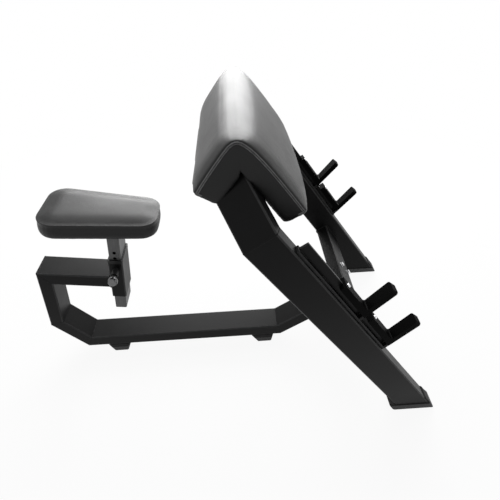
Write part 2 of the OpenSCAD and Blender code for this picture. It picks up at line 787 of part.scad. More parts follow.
// a closed outline of the seat, drawn in by d; every outline has the same number of points
corner_steps = 6;
side_steps = 5;
function seat_half(x) =
  seat_rear_w / 2 + (seat_front_w - seat_rear_w) / 2 * (x - seat_x0) / seat_len;
function seat_arc(rear, left, d) =
  let (
    r = max(seat_round - d, 6), q = d + r,
    cx = rear ? seat_x0 + q : seat_x1 - q, cy = seat_half(cx) - q / cos(seat_taper),
    a0 = rear ? 180 : 90 - seat_taper, a1 = rear ? 90 - seat_taper : 0,
    pts = [for (k = [0:corner_steps]) let (a = a0 + (a1 - a0) * k / corner_steps)
      [cx + r * cos(a), cy + r * sin(a)]]
  )
  left ? pts : [for (k = [corner_steps:-1:0]) [pts[k][0], -pts[k][1]]];
function between(p, q) = [for (k = [1:side_steps - 1]) p + (q - p) * k / side_steps];

function seat_outline(d) =
  let (a = seat_arc(true, true, d), b = seat_arc(false, true, d),
       c = seat_arc(false, false, d), e = seat_arc(true, false, d))
  concat(a, between(a[corner_steps], b[0]), b, between(b[corner_steps], c[0]), c,
         between(c[corner_steps], e[0]), e, between(e[corner_steps], a[0]));

// the cushion's outlines from its underside to its crown, as [drawn in, height]
seat_rings = [
  [seat_tuck, 0], [seat_tuck * 0.5, 2.5], [seat_tuck * 0.15, 9], [0, 20],
  [0.06 * seat_edge, 0.6 * seat_t], [0.3 * seat_edge, 0.82 * seat_t], [seat_edge, seat_t],
  [seat_edge + 7, seat_t + 0.4 * seat_crown], [seat_edge + 19, seat_t + 0.68 * seat_crown],
  [seat_edge + 40, seat_t + 0.88 * seat_crown]
];
seat_count = len(seat_outline(0));
seat_mid = (seat_x0 + seat_x1) / 2;

function seat_points() = concat(
  [for (r = seat_rings) each [for (p = seat_outline(r[0])) [p[0], p[1], r[1]]]],
  [[seat_mid, 0, 0], [seat_mid, 0, seat_t + seat_crown]]
);

function seat_faces() =
  let (n = seat_count, last = (len(seat_rings) - 1) * seat_count, low = len(seat_rings) * seat_count)
  concat(
    band_faces(len(seat_rings), n),
    [for (j = [0:n - 1]) [low, j, (j + 1) % n]],
    [for (j = [0:n - 1]) [low + 1, last + (j + 1) % n, last + j]]
  );

module seat_board_shape() {
  on_arm() translate([post_e, 0, post_top]) linear_extrude(height = seat_board_t)
    polygon(seat_outline(seat_tuck + pad_rim));
}

module seat_board() ply() seat_board_shape();

module seat_cushion() vinyl() difference() {
  on_arm() translate([post_e, 0, post_top]) polyhedron(points = seat_points(), faces = seat_faces());
  seat_board_shape();
}

// Bar racks
heel_t = 10;
rack_low = under_hook(true, base_t) - 6;

module rack_base(side) frame_paint() sided(side)
  on_leg() translate([leg_y - base_w / 2, rack_low, 0])
    cube([base_w, rack_top - rack_low, base_t]);

function hook_notch(lower) = hook_top - hook_back - (lower ? hook_pitch : 0);
function under_hook(lower, r) =
  hook_notch(lower) - hook_t / cos(hook_tilt) + (r - web_low - hook_t) * tan(hook_tilt);

// Draws an outline given as [up the slope, out from the leg], to a width across the bench.
module rack_slab(points, w) {
  on_leg() translate([leg_y, 0, 0]) rotate([90, 0, 90]) linear_extrude(height = w, center = true)
    polygon(points);
}

module rack_web(side) frame_paint() {
  web_shape(side);
  for (lower = [false, true]) hook_heel(side, lower);
}

module web_shape(side) sided(side) rack_slab([
  [rack_top, base_t], [rack_top, guard_high], [hook_top, guard_high], [hook_top, web_low],
  [under_hook(false, web_low), web_low],
  [under_hook(false, web_low) - 2, web_low + 10], [under_hook(false, web_low) - 16, web_low],
  [under_hook(true, web_low), web_low], [under_hook(true, base_t), base_t]
], web_t);

// the wide heel of a rack plate, which carries the underside of a hook on to the strip
module hook_heel(side, lower) sided(side) rack_slab([
  [under_hook(lower, web_low), web_low], [under_hook(lower, base_t), base_t],
  [under_hook(lower, base_t) + heel_t, base_t], [under_hook(lower, web_low) + heel_t, web_low]
], hook_w);

module hook(side, lower) hook_black() sided(side) {
  notch = hook_notch(lower);
  face = web_low + hook_t;
  arm_long = hook_reach / cos(hook_tilt);
  tip = [notch, face] + arm_long * along(90 - hook_tilt);
  bend = [notch + notch_r * (1 - sin(hook_tilt)) / cos(hook_tilt), face + notch_r];
  difference() {
    intersection() {
      rack_slab([
        [notch + hook_back, web_low], [notch + hook_back, face],
        for (k = [0:4]) let (a = -90 - k * (90 - hook_tilt) / 4)
          bend + notch_r * along(a),
        tip, tip + hook_t * along(180 - hook_tilt), [under_hook(lower, web_low), web_low]
      ], hook_w);
      // rounded outer corners of the arm
      on_leg() translate([leg_y, notch, face]) rotate([-hook_tilt, 0, 0]) rotate([90, 0, 0])
        linear_extrude(height = wide, center = true) union() {
          translate([-hook_w / 2, -wide / 2]) square([hook_w, wide / 2 + arm_long - tip_r]);
          translate([0, arm_long - hook_w / 2]) round_rect(hook_w, hook_w, tip_r);
        }
    }
    hook_screw_place(lower) translate([0, 0, -over]) cylinder(d = 6, h = 2 * over, $fn = 24);
  }
}

module hook_screw_place(lower) {
  on_leg() translate([leg_y, hook_notch(lower) + hook_back - 18, web_low + hook_t]) children();
}

module hook_screw(side, lower) zinc() sided(side) hook_screw_place(lower) {
  cylinder(d = 13, h = 2, $fn = 32);
  translate([0, 0, 2]) cylinder(d1 = 13, d2 = 8, h = 2, $fn = 32);
  translate([0, 0, -hook_t]) cylinder(d = 6, h = hook_t + 1, $fn = 24);
}

seat_arm();
upright();
knee_tube();
floor_beam();
riser();
riser_flange();
crossbar();
leg_lower(1);  // leg_lower_left
leg_lower(-1);  // leg_lower_right
leg_upper(1);  // leg_upper_left
leg_upper(-1);  // leg_upper_right
boot(1);  // boot_left
boot(-1);  // boot_right
beam_foot_rear();
beam_foot_front();
crossbar_bolt(bolt_spots[0]);  // crossbar_bolt_a
crossbar_bolt(bolt_spots[1]);  // crossbar_bolt_b
crossbar_bolt(bolt_spots[2]);  // crossbar_bolt_c
crossbar_bolt(bolt_spots[3]);  // crossbar_bolt_d
crossbar_nut(bolt_spots[0]);  // crossbar_nut_a
crossbar_nut(bolt_spots[1]);  // crossbar_nut_b
crossbar_nut(bolt_spots[2]);  // crossbar_nut_c
crossbar_nut(bolt_spots[3]);  // crossbar_nut_d
pad_bracket(1);  // pad_bracket_left
pad_bracket(-1);  // pad_bracket_right
arm_pad_board();
arm_pad_cushion();
pad_screw(1, true);  // pad_screw_a
pad_screw(1, false);  // pad_screw_b
pad_screw(-1, true);  // pad_screw_c
pad_screw(-1, false);  // pad_screw_d
post_sleeve();
sleeve_liner();
pin_barrel();
rack_base(1);  // rack_base_left
rack_base(-1);  // rack_base_right
rack_web(1);  // rack_web_left
rack_web(-1);  // rack_web_right
hook(1, false);  // hook_upper_left
hook(-1, false);  // hook_upper_right
hook(1, true);  // hook_lower_left
hook(-1, true);  // hook_lower_right
hook_screw(1, false);  // hook_screw_ul
hook_screw(-1, false);  // hook_screw_ur
hook_screw(1, true);  // hook_screw_ll
hook_screw(-1, true);  // hook_screw_lr
pin_shaft();
pin_knob();
seat_post();
post_cap();
seat_plate();
seat_board();
seat_cushion();
seat_screw(seat_screw_spots[0]);  // seat_screw_a
seat_screw(seat_screw_spots[1]);  // seat_screw_b
seat_screw(seat_screw_spots[2]);  // seat_screw_c
seat_screw(seat_screw_spots[3]);  // seat_screw_d
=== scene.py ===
"""A preacher curl bench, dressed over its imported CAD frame: steel frame with welds and bolts,
two vinyl cushions, coated bar hooks, rubber feet and a plated seat post with a pull pin.
Everything is in metres, Z is up, and X runs from the seat towards the bar hooks."""
import math

import bpy
import bmesh
from mathutils import Matrix, Vector
from mathutils.bvhtree import BVHTree
from mathutils.kdtree import KDTree


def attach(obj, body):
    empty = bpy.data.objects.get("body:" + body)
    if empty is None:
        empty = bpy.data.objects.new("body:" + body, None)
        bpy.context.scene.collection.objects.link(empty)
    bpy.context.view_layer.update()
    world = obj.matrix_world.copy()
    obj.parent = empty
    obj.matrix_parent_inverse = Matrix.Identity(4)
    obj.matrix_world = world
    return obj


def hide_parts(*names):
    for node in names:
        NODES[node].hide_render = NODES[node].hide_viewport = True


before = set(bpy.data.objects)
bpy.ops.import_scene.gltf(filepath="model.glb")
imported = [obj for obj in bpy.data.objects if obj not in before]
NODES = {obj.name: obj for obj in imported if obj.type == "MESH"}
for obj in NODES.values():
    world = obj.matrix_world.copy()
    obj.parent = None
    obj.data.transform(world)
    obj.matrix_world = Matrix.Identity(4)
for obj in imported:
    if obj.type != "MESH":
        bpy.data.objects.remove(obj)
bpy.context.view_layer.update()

# The bench's own lines and planes, repeated from the part's source
LEAN = math.radians(8.5)
KNEE = math.radians(52.6)
LEG = math.radians(55.5)
REAR = math.radians(53)
TUBE_LONG = 0.1
TUBE_SHORT = 0.05
TUBE_ROUND = 0.005
ARM_CORNER = Vector((-0.646887, 0, 0.425617))
ARM_END = Vector((-0.42337, 0, 0.392212))
KNEE_HIGH = Vector((-0.68214, 0, 0.189737))
KNEE_LOW = Vector((-0.5883, 0, 0.067))
BEAM_FRONT = Vector((0.1843, 0, 0.067))
RISER_END = Vector((0.416703, 0, 0.226727))
LEG_FACE = Vector((0.505709, 0, 0.287898))
RIDGE = Vector((0.0651133, 0, 1.04196))
LEG_Y = 0.36
BAR_Y = 0.335
BEND_UP = 0.639
POST_AXIS = 0.251
POST_HIGH = 0.223
PIN_HIGH = 0.06
PAD_DEEP = 0.059
PAD_FOAM = 0.044
PAD_HALF = 0.285
FRONT_LONG = 0.36
REAR_LONG = 0.25
SEAT_UNDER = POST_HIGH + 0.005
SEAT_THICK = 0.0565
SEAT_SIDE = 0.02
SEAT_MIDDLE = -0.034
HOOK_NOTCHES = (0.272, 0.107)
RACK_TOP = 0.564
WEB_LOW = 0.023
HOOK_THICK = 0.020
HOOK_BACK = 0.117
HOOK_SCREW_DOWN = 0.018
CROSSBAR_MIDDLE = -0.075
# a face wider than this counts as a side, and not as part of a rounded corner
BROAD = 0.006
# a point this near the arm pad's end lies in its end face
END_NEAR = 0.0002
# heights over the ground between which the boots' pale sole gives way to black
SOLE_FADE = (0.0225, 0.0245)
# the grain of the even skins that cushions and boots are shaped from
BOOT_GRAIN = 0.0016
SEAT_GRAIN = 0.004
PAD_GRAIN = 0.0055
# frames that the cloth runs for, and how often its moves are then evened out
CLOTH_FRAMES = 20
EVEN_TURNS = 14
# room between a cushion's pocket and its board
POCKET_ROOM = 0.0006
# how far the arm pad's ends move when stuffed: crown and flap out, flap's tip down, rims in
CROWN_FILL = 0.0035
FLAP_FILL = 0.003
FLAP_DROP = 0.004
RIM_FRONT = 0.008
RIM_REAR = 0.014
# gaps of the twin seam's two ridges, and of the thread between them, from the pad's edge
RIDGE_GAPS = (0.0055, 0.0095)
THREAD_GAP = 0.0075


def slope(angle):
    """Unit vector in the bench's upright middle plane, at an angle above level."""
    return Vector((math.cos(angle), 0, math.sin(angle)))


ACROSS = Vector((0, 1, 0))
OUT = slope(math.pi / 2 - LEG)
UP = slope(math.pi - LEG)
ARM = slope(-LEAN)
POST = slope(math.pi / 2 - LEAN)
FRONT_DOWN = slope(-LEG)
FRONT_OUT = slope(math.pi / 2 - LEG)
REAR_DOWN = slope(math.pi + REAR)
REAR_OUT = slope(math.pi / 2 + REAR)


def on_leg(across, up, out):
    """A point measured from the legs' front plane, level with the crossbar's centre line."""
    return LEG_FACE + ACROSS * across + UP * up + OUT * out


def on_post(along, across, up):
    """A point measured from the seat post's axis, level with the seat arm's centre line."""
    return ARM_CORNER + ARM * (POST_AXIS + along) + ACROSS * across + POST * up


def axes_at(place, along_x, along_y, along_z):
    """The matrix that moves a piece made at the origin on to a place, along three axes."""
    turn = Matrix((along_x, along_y, along_z)).transposed().to_4x4()
    return Matrix.Translation(place) @ turn


# Working on one piece at a time
def take_up(piece):
    """Leaves only this piece selected, and makes it the active one."""
    bpy.ops.object.select_all(action="DESELECT")
    piece.select_set(True)
    bpy.context.view_layer.objects.active = piece


def pick(piece, kind, test):
    """Selects the faces, edges or points for which test holds, and opens the piece in edit mode."""
    take_up(piece)
    data = piece.data
    for group in (data.vertices, data.edges, data.polygons):
        group.foreach_set("select", [False] * len(group))
    modes = {"vertices": (True, False, False), "edges": (False, True, False),
             "polygons": (False, False, True)}
    bpy.context.tool_settings.mesh_select_mode = modes[kind]
    for part in getattr(data, kind):
        part.select = bool(test(part))
    bpy.ops.object.mode_set(mode="EDIT")


def done():
    bpy.ops.object.mode_set(mode="OBJECT")


def everything(_part):
    return True


def put_on(piece, kind, name, **settings):
    """Adds a modifier to the piece and applies it."""
    take_up(piece)
    made = piece.modifiers.new(name, kind)
    for key, value in settings.items():
        setattr(made, key, value)
    bpy.ops.object.modifier_apply(modifier=made.name)


def smooth(piece, degrees=35):
    take_up(piece)
    bpy.ops.object.shade_smooth_by_angle(angle=math.radians(degrees))


def joined(name, pieces):
    """Joins several pieces into one, under a new name."""
    take_up(pieces[0])
    for piece in pieces[1:]:
        piece.select_set(True)
    bpy.ops.object.join()
    pieces[0].name = name
    return pieces[0]


def copy_of(node, name):
    """A clean copy of a CAD node: its triangles joined up, and its flat faces made whole."""
    piece = NODES[node].copy()
    piece.data = NODES[node].data.copy()
    piece.name = name
    piece.parent = None
    for key in [k for k in piece.keys() if k.startswith("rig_")]:
        del piece[key]
    piece.hide_viewport = False
    piece.hide_render = False
    bpy.context.scene.collection.objects.link(piece)
    take_up(piece)
    bpy.ops.mesh.customdata_custom_splitnormals_clear()
    pick(piece, "polygons", everything)
    bpy.ops.mesh.remove_doubles(threshold=0.00001)
    bpy.ops.mesh.dissolve_limited(angle_limit=math.radians(0.3))
    done()
    piece.data.materials.clear()
    return piece


def mark_edges(piece):
    """Writes an attribute that is 1 along rounded corners and edges, and 0 on the broad sides."""
    data = piece.data
    wear_and_sheen = [1.0] * len(data.vertices)
    for face in data.polygons:
        corners = [data.vertices[v].co for v in face.vertices]
        longest = max((a - b).length for a, b in zip(corners, corners[1:] + corners[:1]))
        if face.area > longest * BROAD:
            for v in face.vertices:
                wear_and_sheen[v] = 0.0
    edge = data.attributes.new("edge", "FLOAT", "POINT")
    edge.data.foreach_set("value", wear_and_sheen)


def finish_piece(piece, body, slot, material, *nodes):
    """Gives a piece its material and body, and has it stand for its CAD nodes."""
    piece.data.materials.clear()
    piece.data.materials.append(material)
    if nodes:
        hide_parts(*nodes)
    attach(piece, body)
    return piece


def softened(node, width, material, slot, body="frame", angle=34, segments=3):
    """A CAD node's copy with every sharp edge rounded, in place of the node."""
    piece = copy_of(node, node + "_part")
    put_on(piece, "BEVEL", "rounding", width=width, segments=segments, limit_method="ANGLE",
           angle_limit=math.radians(angle), use_clamp_overlap=True, miter_outer="MITER_ARC")
    mark_edges(piece)
    smooth(piece, 40)
    put_on(piece, "WEIGHTED_NORMAL", "flat_sides", keep_sharp=True, weight=80)
    return finish_piece(piece, body, slot, material, node)


def turned(name, profile, sides, place):
    """A turned piece: a disc drawn out step by step to each radius and height of its profile."""
    radius, height = profile[0]
    bpy.ops.object.select_all(action="DESELECT")
    bpy.ops.mesh.primitive_circle_add(vertices=sides, radius=radius, fill_type="NGON",
                                      location=(0, 0, height))
    piece = bpy.context.object
    piece.name = name
    bpy.ops.object.transform_apply(location=True, rotation=True, scale=True)
    pick(piece, "polygons", everything)
    for next_radius, next_height in profile[1:]:
        step = {"value": (0, 0, next_height - height)}
        bpy.ops.mesh.extrude_region_move(TRANSFORM_OT_translate=step)
        grow = next_radius / radius
        bpy.ops.transform.resize(value=(grow, grow, 1))
        radius, height = next_radius, next_height
    bpy.ops.mesh.select_all(action="SELECT")
    bpy.ops.mesh.normals_make_consistent(inside=False)
    done()
    piece.data.transform(place)
    smooth(piece, 30)
    return piece


def rod(name, points, radius, closed=False, ripple=0.0, ripple_pitch=0.0045, sides=8):
    """A round rod along a path, with ripples along it if it is a weld bead or thread."""
    path = bpy.data.curves.new(name, "CURVE")
    path.dimensions = "3D"
    line = path.splines.new("POLY")
    line.points.add(len(points) - 1)
    travelled = 0.0
    for number, point in enumerate(points):
        if number:
            travelled += (points[number] - points[number - 1]).length
        wave = math.sin(2 * math.pi * travelled / ripple_pitch)
        line.points[number].co = (*point, 1)
        line.points[number].radius = 1 + ripple * wave
    line.use_cyclic_u = closed
    path.bevel_depth = radius
    path.bevel_resolution = max(0, sides // 4 - 1)
    path.use_fill_caps = not closed
    piece = bpy.data.objects.new(name, path)
    bpy.context.scene.collection.objects.link(piece)
    take_up(piece)
    bpy.ops.object.convert(target="MESH")
    piece = bpy.context.object
    smooth(piece, 60)
    return piece


def spaced(points, gap, closed=False):
    """The same path with a point at every gap along it."""
    ends = points + points[:1] if closed else points
    made = []
    for start, stop in zip(ends[:-1], ends[1:]):
        count = max(1, round((stop - start).length / gap))
        made += [start.lerp(stop, k / count) for k in range(count)]
    return made if closed else made + [ends[-1]]


# Shader maths
class Wire:
    """A socket in a material, on which plain Python arithmetic adds Math nodes."""

    def __init__(self, finish, socket):
        self.finish = finish
        self.socket = socket

    def maths(self, operation, *values):
        return self.finish.node("ShaderNodeMath", {"operation": operation}, *values)[0]

    def __add__(self, other):
        return self.maths("ADD", self, other)

    def __radd__(self, other):
        return self.maths("ADD", other, self)

    def __sub__(self, other):
        return self.maths("SUBTRACT", self, other)

    def __rsub__(self, other):
        return self.maths("SUBTRACT", other, self)

    def __mul__(self, other):
        return self.maths("MULTIPLY", self, other)

    def __rmul__(self, other):
        return self.maths("MULTIPLY", other, self)

    def __truediv__(self, other):
        return self.maths("DIVIDE", self, other)

    def clamped(self):
        return self.finish.node("ShaderNodeClamp", {}, self)[0]


class Finish:
    """A material under construction."""

    def __init__(self, name):
        self.material = bpy.data.materials.new(name)
        self.material.use_nodes = True
        self.nodes = self.material.node_tree.nodes
        self.links = self.material.node_tree.links
        self.nodes.clear()
        self.output = self.nodes.new("ShaderNodeOutputMaterial")
        self.shader = self.nodes.new("ShaderNodeBsdfPrincipled")
        self.links.new(self.shader.outputs[0], self.output.inputs["Surface"])

    def node(self, kind, settings, *values, **named):
        """Adds a node, sets it up, then fills its sockets by order or by name."""
        made = self.nodes.new(kind)
        stops = settings.pop("stops", None)
        for key, value in settings.items():
            setattr(made, key, value)
        if stops:
            ramp = made.color_ramp
            while len(ramp.elements) < len(stops):
                ramp.elements.new(0.5)
            for element, (place, shade) in zip(ramp.elements, stops):
                element.position = place
                element.color = (*shade, 1) if len(shade) == 3 else shade
        for number, value in enumerate(values):
            self.feed(made.inputs[number], value)
        for key, value in named.items():
            self.feed(made.inputs[key.replace("_", " ")], value)
        return [Wire(self, socket) for socket in made.outputs]

    def feed(self, socket, value):
        if isinstance(value, Wire):
            self.links.new(value.socket, socket)
        elif value is not None:
            socket.default_value = value

    def place(self, scale=(1, 1, 1), turn=(0, 0, 0)):
        """Object coordinates, turned and stretched."""
        here = self.node("ShaderNodeTexCoord", {})[3]
        mapping = self.node("ShaderNodeMapping", {"vector_type": "POINT"}, Vector=here,
                            Rotation=turn)[0]
        return self.node("ShaderNodeVectorMath", {"operation": "MULTIPLY"}, mapping,
                         Vector(scale))[0]

    def noise(self, scale, detail=2.0, roughness=0.5, at=None, distortion=0.0):
        at = at or self.place()
        return self.node("ShaderNodeTexNoise", {}, Vector=at, Scale=scale, Detail=detail,
                         Roughness=roughness, Distortion=distortion)[0]

    def cells(self, scale, at=None, feature="F1", randomness=1.0):
        at = at or self.place()
        return self.node("ShaderNodeTexVoronoi", {"feature": feature}, Vector=at, Scale=scale,
                         Randomness=randomness)[0]

    def fade(self, value, low, high, to_low=0.0, to_high=1.0):
        """The value spread from low..high on to to_low..to_high, and held at its ends."""
        return self.node("ShaderNodeMapRange", {"clamp": True}, value, low, high, to_low,
                         to_high)[0]

    def blend(self, share, first, second):
        """A colour between two others."""
        made = self.nodes.new("ShaderNodeMix")
        made.data_type = "RGBA"
        self.feed(made.inputs[0], share)
        for socket, value in ((made.inputs[6], first), (made.inputs[7], second)):
            if isinstance(value, tuple):
                value = (*value, 1)
            self.feed(socket, value)
        return Wire(self, made.outputs[2])

    def edge(self):
        """The attribute that marks rounded corners and edges, where the finishes lay rubbed wear and,
        on the frame, a painted highlight.
        """
        return self.node("ShaderNodeAttribute", {"attribute_name": "edge"})[2]

    def bump(self, height, strength, distance, under=None):
        return self.node("ShaderNodeBump", {}, Strength=strength, Distance=distance,
                         Height=height, Normal=under)[0]

    def surface(self, **named):
        for key, value in named.items():
            name = key.replace("_", " ")
            if isinstance(value, tuple) and len(value) == 3:
                value = (*value, 1)
            self.feed(self.shader.inputs[name], value)
        return self.material


def grey(value):
    return (value, value, value * 1.01)


def powder_coat():
    """Satin black powder coat: fine orange peel, faint haze, and rounded corners painted lighter in
    patches, partly rubbed wear and partly a painted edge highlight.
    """
    f = Finish("frame_powder_coat")
    peel = f.noise(520, 2.0, 0.55)
    speck = f.noise(2600, 1.0, 0.6)
    haze = f.noise(9, 4.0, 0.6)
    # rounded corners painted lighter in patches: partly rubbed wear, partly a painted highlight along
    # the edges
    wear_and_sheen = f.edge() * f.fade(f.noise(60, 3.0, 0.65), 0.25, 0.66, 0.6, 1.0)
    base = f.blend(f.fade(haze, 0.35, 0.7), grey(0.0035), grey(0.006))
    base = f.blend((wear_and_sheen * 0.5).clamped(), base, grey(0.09))
    rough = f.fade(haze, 0.3, 0.7, 0.34, 0.42) + speck * 0.05 - wear_and_sheen * 0.06
    bumpy = f.bump(peel + speck * 0.35, 0.12, 0.0004)
    return f.surface(Base_Color=base, Roughness=rough, Normal=bumpy, Specular_IOR_Level=0.10)


def hook_coat():
    """Matt black moulded coating, rubbed smoother and a little lighter in patches along its edges."""
    f = Finish("hook_matt_coating")
    grain = f.noise(1500, 3.0, 0.65)
    pits = f.cells(900)
    rubbed = f.edge() * f.fade(f.noise(26, 3.0, 0.6, f.place((1, 6, 1))), 0.35, 0.62)
    base = f.blend(rubbed * 0.5, grey(0.0006), grey(0.01))
    rough = 0.58 - rubbed * 0.18
    bumpy = f.bump(grain + pits * 0.5, 0.25, 0.0003)
    return f.surface(Base_Color=base, Roughness=rough, Normal=bumpy, Specular_IOR_Level=0.03)


def vinyl():
    """Black upholstery vinyl with a fine pebbled grain and a satin top coat."""
    f = Finish("pad_vinyl_grain")
    here = f.place()
    warp = f.node("ShaderNodeVectorMath", {"operation": "ADD"}, here,
                  f.node("ShaderNodeVectorMath", {"operation": "SCALE"},
                         f.node("ShaderNodeTexNoise", {}, Vector=here, Scale=220.0)[1],
                         Scale=0.0012)[0])[0]
    pebble = f.cells(760, warp, "SMOOTH_F1")
    crease = f.fade(f.cells(760, warp, "DISTANCE_TO_EDGE"), 0.0, 0.11)
    broad = f.noise(7, 3.0, 0.5)
    drawn = f.noise(16, 3.0, 0.55, f.place((1.0, 5.0, 1.0)))
    pores = f.noise(3200, 2.0, 0.6)
    base = f.blend(f.fade(broad, 0.3, 0.7), grey(0.004), grey(0.007))
    # painted shade: the valleys between the grain's pebbles are painted darker
    base = f.blend((1 - crease) * 0.5, base, grey(0.003))
    rough = f.fade(broad, 0.3, 0.7, 0.33, 0.39) + (1 - crease) * 0.1 + drawn * 0.06
    relief = f.bump(crease * 0.8 - pebble * 0.5 + pores * 0.15, 0.15, 0.0004)
    return f.surface(Base_Color=base, Roughness=rough, Normal=relief, Specular_IOR_Level=0.26)


def welt():
    """The raised vinyl ridges of the twin seam: glossier than the vinyl, and painted a lighter grey
    in patches as a painted highlight along the seam.
    """
    f = Finish("seam_welt_vinyl")
    wear_and_sheen = f.fade(f.noise(90, 3.0, 0.6), 0.3, 0.65)
    # painted highlight: the ridges are painted far lighter than the vinyl, in uneven patches
    base = f.blend(wear_and_sheen, grey(0.02), grey(0.075))
    rough = f.fade(wear_and_sheen, 0.0, 1.0, 0.42, 0.3)
    return f.surface(Base_Color=base, Roughness=rough, Specular_IOR_Level=0.8,
                     Normal=f.bump(f.noise(1400, 2.0, 0.6), 0.1, 0.0002))


def thread():
    """Twisted black sewing thread."""
    f = Finish("seam_thread")
    twist = f.noise(2400, 2.0, 0.6)
    base = f.blend(twist, grey(0.015), grey(0.05))
    return f.surface(Base_Color=base, Roughness=0.55, Normal=f.bump(twist, 0.4, 0.0002))


def plywood():
    """Raw plywood: grain along the board, with plies showing at its edges."""
    f = Finish("backing_plywood")
    grain = f.noise(14, 5.0, 0.62, f.place((6, 0.6, 6)), 0.8)
    fine = f.noise(160, 3.0, 0.6, f.place((4, 0.25, 4)))
    base = f.blend(f.fade(grain, 0.35, 0.68), (0.42, 0.29, 0.17), (0.29, 0.185, 0.10))
    base = f.blend(fine * 0.35, base, (0.20, 0.125, 0.065))
    rough = f.fade(grain, 0.3, 0.7, 0.62, 0.78)
    return f.surface(Base_Color=base, Roughness=rough, Normal=f.bump(grain + fine * 0.6, 0.3, 0.0005))


def rubber():
    """Moulded black rubber, paler grey in a band along the bottom of its sole."""
    f = Finish("foot_rubber")
    bloom = f.noise(18, 4.0, 0.6)
    grain = f.noise(1300, 2.0, 0.6)
    low = f.node("ShaderNodeSeparateXYZ", {}, f.place())[2]
    sole = 1 - f.fade(low, *SOLE_FADE)
    base = f.blend(f.fade(bloom, 0.35, 0.7), grey(0.005), grey(0.0085))
    base = f.blend(sole * f.fade(bloom, 0.3, 0.7, 0.8, 1.0), base, grey(0.1))
    rough = f.fade(bloom, 0.3, 0.7, 0.6, 0.76)
    return f.surface(Base_Color=base, Roughness=rough, Normal=f.bump(grain, 0.25, 0.0003),
                     Specular_IOR_Level=0.2)


def plastic():
    """Black moulded plastic with a fine spark texture."""
    f = Finish("collar_plastic")
    spark = f.cells(1500)
    broad = f.noise(30, 3.0, 0.5)
    base = f.blend(broad, grey(0.007), grey(0.012))
    rough = f.fade(broad, 0.3, 0.7, 0.42, 0.55)
    return f.surface(Base_Color=base, Roughness=rough, Normal=f.bump(spark, 0.22, 0.0002),
                     Specular_IOR_Level=0.25)


def post_steel():
    """Satin grey plated steel, drawn along the post, with darker sliding marks streaked along it."""
    f = Finish("post_satin_plate")
    drawn = f.noise(70, 4.0, 0.6, f.place((8, 8, 0.35), (0, -LEAN, 0)))
    cloud = f.noise(22, 4.0, 0.6)
    marks = f.fade(f.noise(150, 2.0, 0.5, f.place((3, 3, 0.06), (0, -LEAN, 0))), 0.6, 0.7)
    base = f.blend(f.fade(cloud, 0.3, 0.7), grey(0.06), grey(0.10))
    base = f.blend(f.fade(drawn, 0.35, 0.65) * 0.35, base, grey(0.15))
    base = f.blend(marks * 0.4, base, grey(0.06))
    rough = f.fade(cloud, 0.3, 0.7, 0.36, 0.5) + drawn * 0.08
    return f.surface(Base_Color=base, Roughness=rough, Metallic=0.75,
                     Normal=f.bump(drawn, 0.14, 0.0003))


def bright_steel():
    """Polished steel with a few fine scuffs."""
    f = Finish("knob_polished_steel")
    scuff = f.fade(f.noise(420, 2.0, 0.5, f.place((1, 5, 1))), 0.62, 0.75)
    cloud = f.noise(40, 3.0, 0.5)
    base = f.blend(cloud, grey(0.11), grey(0.16))
    rough = f.fade(cloud, 0.3, 0.7, 0.24, 0.32) + scuff * 0.15
    return f.surface(Base_Color=base, Roughness=rough, Metallic=0.95,
                     Normal=f.bump(scuff, 0.1, 0.0001))


def zinc():
    """Bright zinc plate, faintly spangled."""
    f = Finish("fastener_zinc")
    spangle = f.cells(420)
    cloud = f.noise(120, 3.0, 0.6)
    base = f.blend(spangle, (0.74, 0.75, 0.77), (0.84, 0.84, 0.84))
    rough = f.fade(cloud, 0.3, 0.7, 0.22, 0.36)
    return f.surface(Base_Color=base, Roughness=rough, Metallic=0.9,
                     Normal=f.bump(cloud, 0.12, 0.0002))


COAT = powder_coat()
HOOK = hook_coat()
VINYL = vinyl()
WELT = welt()
THREAD = thread()
PLY = plywood()
RUBBER = rubber()
PLASTIC = plastic()
STEEL = post_steel()
BRIGHT = bright_steel()
ZINC = zinc()

# Frame, rounded along every sharp edge
for tube in ("seat_arm", "upright", "knee_tube", "floor_beam", "riser", "crossbar",
             "leg_lower_left", "leg_lower_right", "leg_upper_left", "leg_upper_right"):
    softened(tube, 0.0006, COAT, "frame_paint", segments=2)
for plate, width in (("riser_flange", 0.0015), ("pad_bracket_left", 0.0012),
                     ("pad_bracket_right", 0.0012), ("post_sleeve", 0.001),
                     ("rack_base_left", 0.0012), ("rack_base_right", 0.0012),
                     ("rack_web_left", 0.0014), ("rack_web_right", 0.0014),
                     ("pin_barrel", 0.0015)):
    softened(plate, width, COAT, "frame_paint")
softened("seat_plate", 0.0012, COAT, "frame_paint", "seat")
for foot in ("beam_foot_rear", "beam_foot_front"):
    softened(foot, 0.002, RUBBER, "rubber_foot", segments=4)
for foot in ("boot_left", "boot_right"):
    boot = copy_of(foot, foot + "_part")
    put_on(boot, "REMESH", "even_skin", mode="VOXEL", voxel_size=BOOT_GRAIN, adaptivity=0.0)
    put_on(boot, "SMOOTH", "rounding", factor=0.5, iterations=22)
    smooth(boot, 60)
    finish_piece(boot, "frame", "rubber_foot", RUBBER, foot)
softened("sleeve_liner", 0.0018, PLASTIC, "black_plastic", segments=4)
softened("post_cap", 0.0012, PLASTIC, "black_plastic", "seat")
softened("seat_post", 0.0008, STEEL, "post_steel", "seat")
softened("pin_shaft", 0.0008, BRIGHT, "post_steel", "pin")
for hook in ("hook_upper_left", "hook_upper_right", "hook_lower_left", "hook_lower_right"):
    softened(hook, 0.0028, HOOK, "hook_coat", segments=5)
softened("arm_pad_board", 0.001, PLY, "backing_ply")
softened("seat_board", 0.001, PLY, "backing_ply", "seat")


# Weld beads
def bead(name, points, radius, closed=False):
    path = spaced(points, 0.0011, closed)
    piece = rod(name, path, radius, closed, ripple=0.1)
    return finish_piece(piece, "frame", "frame_paint", COAT)


